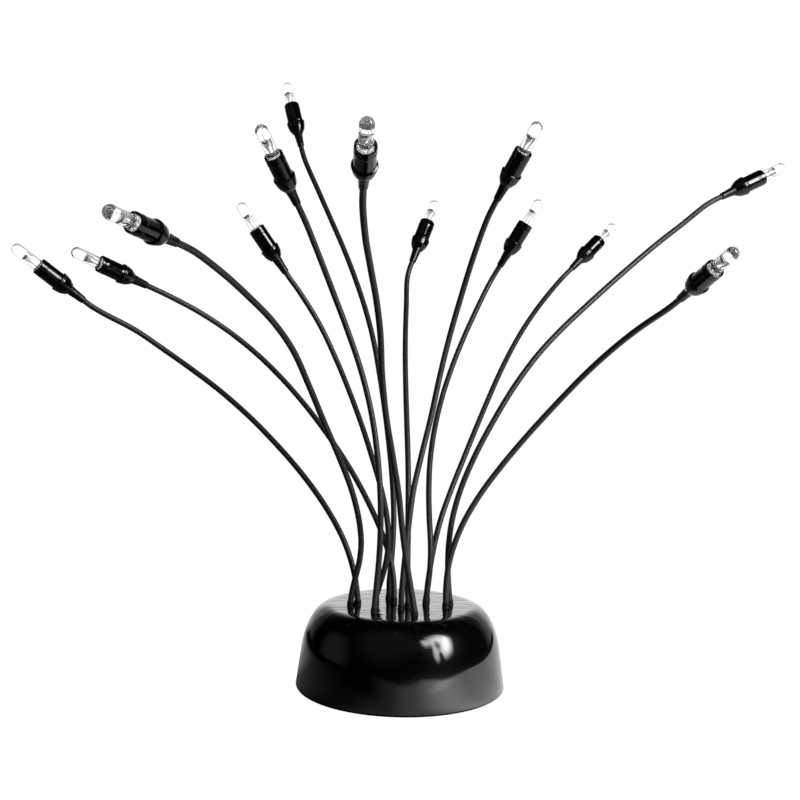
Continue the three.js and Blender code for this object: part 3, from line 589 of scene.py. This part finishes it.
# ----------------------------------------------------------------------- stems
def stem(nn, axis, route):
    pts = [Vector(p) for p in route]
    dense = spline(pts, 40)
    s = by_length(dense)
    length = s[-1]
    head = Vector(axis).normalized()
    n = int(length / 1.15)
    line = [Vector((pts[0].x, pts[0].y, pts[0].z - 0.3))]
    line += [point_at(dense, s, length * i / n) for i in range(n + 1)]
    line += [line[-1] + head * 0.5, line[-1] + head * 1.6]
    # frames carried along the line without twist
    sides, seed = 22, 11.0 + 5.3 * int(nn)
    tangents = [(line[min(i + 1, len(line) - 1)] - line[max(i - 1, 0)]).normalized() for i in range(len(line))]
    u = tangents[0].orthogonal().normalized()
    bm = bmesh.new()
    rows, run = [], 0.0
    for i, (c, t) in enumerate(zip(line, tangents)):
        if i:
            u = (tangents[i - 1].rotation_difference(t) @ u)
            u = (u - t * u.dot(t)).normalized()
            run += (c - line[i - 1]).length
        v = t.cross(u)
        swell = 1 + 0.016 * noise.noise(Vector((run / 11.0, seed, 0))) + 0.004 * noise.noise(Vector((run / 4.0, seed, 5)))
        row = []
        for k in range(sides):
            a = 2 * math.pi * k / sides
            lump = 1 + 0.005 * noise.noise(Vector((1.2 * math.cos(a), 1.2 * math.sin(a), run / 6.0 + seed)))
            r = STEM_RADIUS * swell * lump
            row.append(bm.verts.new((c + (u * math.cos(a) + v * math.sin(a)) * r) * MM))
        rows.append(row)
    for a, b in zip(rows, rows[1:]):
        for k in range(sides):
            j = (k + 1) % sides
            bm.faces.new((a[k], a[j], b[j], b[k]))
    bm.faces.new(rows[0][::-1])
    bm.faces.new(rows[-1])
    ob = finish_mesh(bm, "stem_" + nn, [M_SLEEVE], 50)
    split = length * STEM_SPLIT
    mid = point_at(dense, s, split)
    t = (point_at(dense, s, split + 1) - point_at(dense, s, split - 1)).normalized()
    start, end = mid - t * BEND_HALF, mid + t * BEND_HALF
    for at in range(0, int(length)):
        w = (point_at(dense, s, at) - start).dot(t) / (2 * BEND_HALF)
        if (at < split - 40 and w > 0) or (at > split + 40 and w < 1):
            raise ValueError("stem %s turns back on its own bend at %d mm (%.2f)" % (nn, at, w))
    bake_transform(ob)
    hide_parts("stem_%s_lower" % nn, "stem_%s_upper" % nn)
    return ob


# ----------------------------------------------------------- holders and lenses
TAIL = smooth_line([(1.28, 2.2), (1.28, 0.5), (1.32, 0.08), (1.42, 0.0), (1.57, 0.12), (1.66, 0.5), (1.71, 1.3), (1.79, 2.8),
                    (1.92, 4.6), (2.07, 6.2), (2.17, 7.2)], 3)
COLLAR = [(2.22, 7.55), (2.30, 7.64), (2.62, 7.68), (2.76, 7.76), (2.86, 7.95), (2.93, 8.07), (3.35, 8.85), (3.72, 9.52), (3.79, 9.66),
          (3.86, 9.84), (3.90, 10.02), (4.06, 10.7), (4.20, 11.35), (4.245, 11.6), (4.29, 11.85), (4.32, 12.05), (4.325, 12.5)]
BEAD = [(4.31, 12.58), (4.36, 12.66), (4.44, 12.8), (4.47, 13.05), (4.45, 13.3), (4.38, 13.5), (4.24, 13.62), (3.94, 13.68),
        (3.82, 13.76), (3.78, 13.95)]
BARREL = [(3.78, 15.1), (3.78, 17.0), (3.78, 19.0), (3.78, 20.6), (3.805, 20.8), (3.84, 21.0), (3.85, 21.2), (3.84, 21.4),
          (3.805, 21.6), (3.78, 21.8), (3.78, 23.1), (3.765, 23.6), (3.71, 23.86), (3.59, 23.98), (3.46, 24.0), (3.36, 23.94),
          (3.29, 23.75), (3.26, 23.4), (3.26, 22.6), (3.15, 22.4), (2.86, 22.4), (0, 22.4)]


def head_place(axis, at):
    """From the head's own axes (Z along it from the tail face) to the row frame."""
    turn = Vector((0, 0, 1)).rotation_difference(Vector(axis).normalized())
    return Matrix.Translation(Vector(at) * MM) @ turn.to_matrix().to_4x4()


def holder(nn, axis, at):
    place = head_place(axis, at)
    seed = 2.9 * int(nn)

    def soft(r, z, a):
        if z > 7.3 or r < 1.3:
            return r
        return r * (1 + 0.03 * noise.noise(Vector((1.4 * math.cos(a), 1.4 * math.sin(a), 0.45 * z + seed))))

    bm = bmesh.new()
    profile = [(0, 2.2)] + TAIL + COLLAR + BEAD + BARREL
    rows = lathe(bm, profile, 48, place, shape=soft)
    tail_faces = len(TAIL)
    for f in bm.faces:
        z = (place.inverted() @ f.calc_center_median()).z / MM
        if z < 7.55:
            f.material_index = 1
        elif 22.3 < z < 22.5 and all((place.inverted() @ v.co).to_2d().length < 2.9 * MM for v in f.verts):
            f.material_index = 2
    ob = finish_mesh(bm, "lamp_holder_" + nn, [M_HOLDER, M_TAIL, M_POT], 30)
    return ob


def lens(nn, axis, at):
    place = head_place(axis, at)
    r = 2.5
    dome = []
    for i in range(1, 19):
        t = (math.pi / 2) * i / 18
        dome.append((r * math.cos(t) if i < 18 else 0, 34.8 + 2.5 * math.sin(t)))
    profile = [(0, 22.6), (2.7, 22.6), (2.82, 22.66), (2.86, 22.8), (2.86, 23.85), (2.83, 24.0), (2.75, 24.06), (2.62, 24.08),
               (2.54, 24.16), (2.505, 24.4), (2.5, 24.9), (r, 26.3), (r, 28.3), (r, 30.3), (r, 32.3), (r, 33.9), (r, 34.8)] + dome

    def keyed(rr, z, a):
        # the moulded flat on one side of the flange
        if rr > 2.52 and abs(math.cos(a)) * rr > 2.55 and math.cos(a) > 0:
            return 2.55 / math.cos(a)
        return rr

    bm = bmesh.new()
    lathe(bm, profile, 56, place, shape=keyed)
    return finish_mesh(bm, "led_lens_" + nn, [M_LENS], 34)


def plate(bm, place, outline, y0, y1, mat=0):
    """A flat stamping: an (x, z) outline in mm, from y0 to y1 thick."""
    a = [bm.verts.new(place @ Vector((x * MM, y0 * MM, z * MM))) for x, z in outline]
    b = [bm.verts.new(place @ Vector((x * MM, y1 * MM, z * MM))) for x, z in outline]
    faces = [bm.faces.new(a), bm.faces.new(b[::-1])]
    n = len(a)
    for i in range(n):
        j = (i + 1) % n
        faces.append(bm.faces.new((a[i], b[i], b[j], a[j])))
    for f in faces:
        f.material_index = mat


def leads(nn, axis, at, turn_deg):
    """The stamped lead frame inside the lens: cup post, plain post, and the die in the cup."""
    place = head_place(axis, at)
    # the frame's broad side faces the front unless turned
    z = Vector(axis).normalized()
    local = place.to_3x3().inverted() @ Vector((0, -1, 0))
    face = math.atan2(local.y, local.x) + math.pi / 2 + math.radians(turn_deg)
    place = place @ Matrix.Rotation(face, 4, "Z") @ Matrix.Scale(0.7, 4, (1, 0, 0))
    bm = bmesh.new()
    # cup post
    plate(bm, place, [(-1.0, 22.75), (-0.55, 22.75), (-0.55, 26.9), (-0.20, 28.2), (0.42, 28.9), (0.42, 29.9), (0.36, 30.2),
                      (-1.60, 30.2), (-1.66, 29.9), (-1.66, 28.7), (-1.2, 27.6), (-1.0, 26.5)], -0.27, 0.27)
    cup = [(0, 30.0), (1.02, 30.0), (1.12, 30.15), (1.12, 31.05), (1.05, 31.2), (0.92, 31.2), (0.5, 30.65), (0, 30.6)]
    lathe(bm, cup, 28, place @ Matrix.Translation((-0.62 * MM, 0, 0)))
    # plain post, with its bent-over bond pad
    plate(bm, place, [(0.62, 22.75), (1.05, 22.75), (1.05, 27.2), (1.50, 28.5), (1.66, 29.5), (1.66, 31.02), (1.6, 31.15),
                      (0.78, 31.15), (0.72, 31.0), (0.72, 30.2), (0.80, 28.9), (0.62, 27.7)], -0.24, 0.24)
    # die and its bond wire
    lathe(bm, [(0, 30.62), (0.42, 30.62), (0.46, 30.72), (0.4, 30.9), (0.2, 30.98), (0, 31.0)], 20,
          place @ Matrix.Translation((-0.62 * MM, 0, 0)), mat=1)
    wire = spline([Vector(p) for p in ((-0.62, 0, 30.96), (-0.4, 0, 31.55), (0.2, 0, 31.75), (0.85, 0, 31.5), (1.1, 0, 31.1))], 6)
    rows = []
    for i, c in enumerate(wire):
        t = (wire[min(i + 1, len(wire) - 1)] - wire[max(i - 1, 0)]).normalized()
        side = Vector((0, 1, 0))
        up = t.cross(side)
        rows.append([bm.verts.new(place @ ((c + (side * math.cos(a) + up * math.sin(a)) * 0.035) * MM))
                     for a in (2 * math.pi * k / 6 for k in range(6))])
    for a, b in zip(rows, rows[1:]):
        for k in range(6):
            bm.faces.new((a[k], a[(k + 1) % 6], b[(k + 1) % 6], b[k]))
    bm.faces.new(rows[0][::-1])
    bm.faces.new(rows[-1])
    # the upper rim of the cup and the pad: faces turned sideways get a painted dark shade, faces along the axis (the
    # cup's inside and the tops) get the pale die colour as painted light
    back = place.inverted()
    bmesh.ops.recalc_face_normals(bm, faces=bm.faces[:])
    along = (place.to_3x3() @ Vector((0, 0, 1))).normalized()
    for f in bm.faces:
        if f.material_index == 0 and (back @ f.calc_center_median()).z > 30.55 * MM:
            f.material_index = 1 if abs(f.normal.dot(along)) > 0.4 else 2
    return finish_mesh(bm, "led_leads_" + nn, [M_LEAD, M_DIE_AND_CUP_LIGHT, M_RIM_SHADE], 30)


TURN = {"01": 12, "02": -20, "03": 35, "04": -8, "05": 0, "06": 15, "07": -30, "08": 10, "09": 22, "10": -14, "11": 8, "12": -25,
        "13": 18}
for nn, axis, route in ARMS:
    stem(nn, axis, route)
    upper = "arm_%s_upper" % nn
    h = holder(nn, axis, route[-1])
    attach(h, upper)
    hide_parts("holder_" + nn)
    l = lens(nn, axis, route[-1])
    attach(l, upper)
    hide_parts("led_" + nn)
    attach(leads(nn, axis, route[-1], TURN[nn]), upper)


# ------------------------------------------------------------- floor and light
class Stage:
    """Node helpers for the floor, the studio around it and the lamp heads."""

    def __init__(self, tree, coord):
        self.t = tree
        tree.nodes.clear()
        xyz = self.add("ShaderNodeSeparateXYZ")
        self.link(self.add("ShaderNodeTexCoord").outputs[coord], xyz.inputs[0])
        self.x, self.y, self.z = xyz.outputs["X"], xyz.outputs["Y"], xyz.outputs["Z"]

    def add(self, kind):
        return self.t.nodes.new(kind)

    def link(self, a, b):
        self.t.links.new(a, b)

    def maths(self, op, a, b=0.0):
        m = self.add("ShaderNodeMath")
        m.operation = op
        for i, v in enumerate((a, b)):
            if isinstance(v, (int, float)):
                m.inputs[i].default_value = v
            else:
                self.link(v, m.inputs[i])
        return m.outputs[0]

    def span(self, value, low, high, to_low, to_high):
        m = self.add("ShaderNodeMapRange")
        m.interpolation_type = "SMOOTHSTEP"
        for k, v in (("From Min", low), ("From Max", high), ("To Min", to_low), ("To Max", to_high)):
            m.inputs[k].default_value = v
        self.link(value, m.inputs["Value"])
        return m.outputs["Result"]

    def azimuth(self):
        """0 behind on the left, 0.5 at the front, 1 behind on the right."""
        turn = self.maths("ARCTAN2", self.x, self.maths("MULTIPLY", self.y, -1.0))
        return self.maths("ADD", self.maths("MULTIPLY", turn, 0.5 / math.pi), 0.5)

    def curve(self, value, stops, top):
        """A smooth curve of strength through a few stops, from 0 to top."""
        r = self.add("ShaderNodeValToRGB")
        r.color_ramp.interpolation = "EASE"
        e = r.color_ramp.elements
        while len(e) < len(stops):
            e.new(0.5)
        for slot, (at, v) in zip(e, stops):
            slot.position = at
            slot.color = (v / top, v / top, v / top, 1.0)
        self.link(value, r.inputs["Fac"])
        return self.maths("MULTIPLY", r.outputs["Color"], top)

    def lobe(self, azimuth, elevation, half, strength):
        """A round glow in the sky about one direction (degrees)."""
        a, e = math.radians(azimuth), math.radians(elevation)
        d = (math.sin(a) * math.cos(e), -math.cos(a) * math.cos(e), math.sin(e))
        dot = self.maths("ADD", self.maths("ADD", self.maths("MULTIPLY", self.x, d[0]), self.maths("MULTIPLY", self.y, d[1])),
                         self.maths("MULTIPLY", self.z, d[2]))
        return self.span(dot, math.cos(math.radians(half)), 1.0, 0.0, strength)

    def total(self, parts):
        out = parts[0]
        for p in parts[1:]:
            out = self.maths("ADD", out, p)
        return out

    def emit(self, strength, kind="ShaderNodeEmission"):
        e = self.add(kind)
        e.inputs["Color"].default_value = (1, 1, 1, 1)
        if isinstance(strength, (int, float)):
            e.inputs["Strength"].default_value = strength
        else:
            self.link(strength, e.inputs["Strength"])
        return e.outputs[0]

    def pick(self, ray, others, chosen):
        """chosen for this kind of ray, others for the rest."""
        mix = self.add("ShaderNodeMixShader")
        self.link(self.add("ShaderNodeLightPath").outputs[ray], mix.inputs[0])
        self.link(others, mix.inputs[1])
        self.link(chosen, mix.inputs[2])
        return mix.outputs[0]


def floor():
    me = bpy.data.meshes.new("floor")
    bm = bmesh.new()
    bmesh.ops.create_circle(bm, cap_ends=True, radius=4.0, segments=64)
    bm.to_mesh(me)
    bm.free()
    ob = bpy.data.objects.new("floor", me)
    scene.collection.objects.link(ob)
    mat = bpy.data.materials.new("floor")
    mat.use_nodes = True
    st = Stage(mat.node_tree, "Object")
    radius = st.maths("SQRT", st.maths("ADD", st.maths("MULTIPLY", st.x, st.x), st.maths("MULTIPLY", st.y, st.y)))
    seen = st.emit(1.03)
    # as light on the object: a smooth pale table top, bright from the right at a glancing look and far duller from above,
    # dim at the front left, ending in the dark except behind
    low = st.curve(st.azimuth(), [(0.0, 0.75), (0.12, 0.72), (0.17, 0.38), (0.22, 0.12), (0.36, 0.04), (0.47, 0.25), (0.53, 0.8),
                                  (0.63, 3.1), (0.70, 1.8), (0.77, 1.3), (0.88, 1.2), (1.0, 0.95)], 3.2)
    steep = st.curve(st.azimuth(), [(0.0, 0.15), (0.36, 0.02), (0.50, 0.02), (0.60, 0.1), (0.66, 0.6), (0.75, 0.7), (1.0, 0.7)], 0.7)
    weight = st.add("ShaderNodeLayerWeight")
    weight.inputs["Blend"].default_value = 0.5
    glance = st.span(weight.outputs["Facing"], 0.62, 0.84, 0.0, 1.0)
    side = st.maths("ABSOLUTE", st.maths("SUBTRACT", st.azimuth(), 0.5))
    edge = st.maths("MULTIPLY", st.span(st.x, 0.240, 0.264, 1.0, 0.0), st.span(st.y, -0.70, -0.52, 0.0, 1.0))
    near = st.maths("MAXIMUM", st.span(radius, 0.08, 0.30, 1.0, 0.0), st.span(st.azimuth(), 0.40, 0.48, 0.0, 1.0))
    table = st.maths("MAXIMUM", st.maths("MULTIPLY", edge, near), st.span(side, 0.385, 0.42, 0.0, 1.0))
    # a brighter patch near the right edge
    px, py = st.maths("SUBTRACT", st.x, 0.20), st.maths("SUBTRACT", st.y, -0.22)
    gap = st.maths("SQRT", st.maths("ADD", st.maths("MULTIPLY", px, px), st.maths("MULTIPLY", py, py)))
    low = st.maths("MULTIPLY", st.maths("ADD", low, st.span(gap, 0.02, 0.10, 1.3, 0.0)), table)
    way = st.maths("ADD", st.maths("MULTIPLY", low, glance), st.maths("MULTIPLY", steep, st.maths("SUBTRACT", 1.0, glance)))
    spread = st.curve(st.azimuth(), [(0.0, 0.2), (0.25, 0.03), (0.48, 0.05), (0.60, 1.2), (0.75, 2.4), (0.90, 1.4), (1.0, 0.6)], 2.4)
    cast = st.pick("Is Diffuse Ray", st.emit(way), st.emit(spread))
    out = st.add("ShaderNodeOutputMaterial")
    through = st.emit(st.span(weight.outputs["Facing"], 0.35, 0.75, 0.45, 1.35))
    st.link(st.pick("Is Camera Ray", st.pick("Is Transmission Ray", cast, through), seen), out.inputs[0])
    me.materials.append(mat)
    return ob


def backdrop():
    w = bpy.data.worlds.new("studio")
    scene.world = w
    w.use_nodes = True
    st = Stage(w.node_tree, "Generated")
    # a pale wall behind, fading out to both sides and upwards, and two weak glows at the front left
    side = st.curve(st.azimuth(), [(0.0, 1.45), (0.075, 0.55), (0.12, 0.14), (0.16, 0.0), (0.825, 0.0), (0.88, 0.33),
                                   (0.92, 0.80), (1.0, 1.5)], 1.6)
    rise = st.curve(st.z, [(0.0, 1.0), (0.235, 1.0), (0.31, 0.70), (0.37, 0.50), (0.47, 0.30), (0.60, 0.08), (0.72, 0.0)], 1.0)
    wall = st.maths("MULTIPLY", st.maths("MULTIPLY", side, rise), WALL_LIGHT)
    room = st.total([wall, st.lobe(-20, 42, 42, 0.085), st.lobe(-83, 9, 27, 0.14), st.maths("MULTIPLY", st.lobe(0, 90, 120, 1.0), 0.004)])
    behind = st.maths("ADD", st.span(st.y, 0.35, 0.75, 0.42, 1.35), st.span(st.y, -0.7, 0.0, 1.0, 0.0))
    out = st.add("ShaderNodeOutputWorld")
    lit = st.emit(room, "ShaderNodeBackground")
    through = st.emit(behind, "ShaderNodeBackground")
    white = st.emit(1.03, "ShaderNodeBackground")
    st.link(st.pick("Is Camera Ray", st.pick("Is Transmission Ray", lit, through), white), out.inputs[0])


def soft_card(name, azimuth, elevation, distance, width, height, patches):
    """A diffused lamp head: soft round patches (u, v, half width, half height, strength) in fractions of its size.
    Azimuth from the front towards the right."""
    me = bpy.data.meshes.new(name)
    bm = bmesh.new()
    bmesh.ops.create_grid(bm, x_segments=1, y_segments=1, size=0.5)
    bm.to_mesh(me)
    bm.free()
    ob = bpy.data.objects.new(name, me)
    scene.collection.objects.link(ob)
    a, e = math.radians(azimuth), math.radians(elevation)
    way = Vector((math.sin(a) * math.cos(e), -math.cos(a) * math.cos(e), math.sin(e)))
    ob.location = way * distance + Vector((0, 0, 0.03))
    ob.rotation_euler = way.to_track_quat("Z", "Y").to_euler()
    ob.scale = (width, height, 1)
    mat = bpy.data.materials.new(name)
    mat.use_nodes = True
    st = Stage(mat.node_tree, "Object")
    parts = []
    for u, v, ru, rv, strength in patches:
        dx = st.maths("DIVIDE", st.maths("SUBTRACT", st.x, u), ru)
        dy = st.maths("DIVIDE", st.maths("SUBTRACT", st.y, v), rv)
        r = st.maths("SQRT", st.maths("ADD", st.maths("MULTIPLY", dx, dx), st.maths("MULTIPLY", dy, dy)))
        parts.append(st.span(r, 0.15, 1.0, strength, 0.0))
    out = st.add("ShaderNodeOutputMaterial")
    st.link(st.pick("Is Transmission Ray", st.emit(st.maths("MAXIMUM", st.total(parts), 0.0)), st.emit(1.0)), out.inputs[0])
    me.materials.append(mat)
    ob.visible_camera = False
    ob.visible_shadow = False
    return ob


WALL_LIGHT = 1.1
floor()
backdrop()
soft_card("key_light", 51, 30, 1.0, 0.95, 0.90, [
    (0.04, 0.05, 0.29, 0.45, 15.0), (0.155, -0.03, 0.15, 0.38, 10.0), (-0.135, 0.12, 0.13, 0.36, 5.0), (-0.28, 0.125, 0.145, 0.20, 9.0),
    (-0.155, -0.24, 0.10, 0.245, 8.0), (0.055, -0.225, 0.12, 0.23, 6.5), (-0.055, 0.0, 0.10, 0.19, -11.5),
    (-0.06, -0.28, 0.055, 0.145, -6.0)])

scene.view_settings.view_transform = "Standard"
scene.view_settings.look = "None"
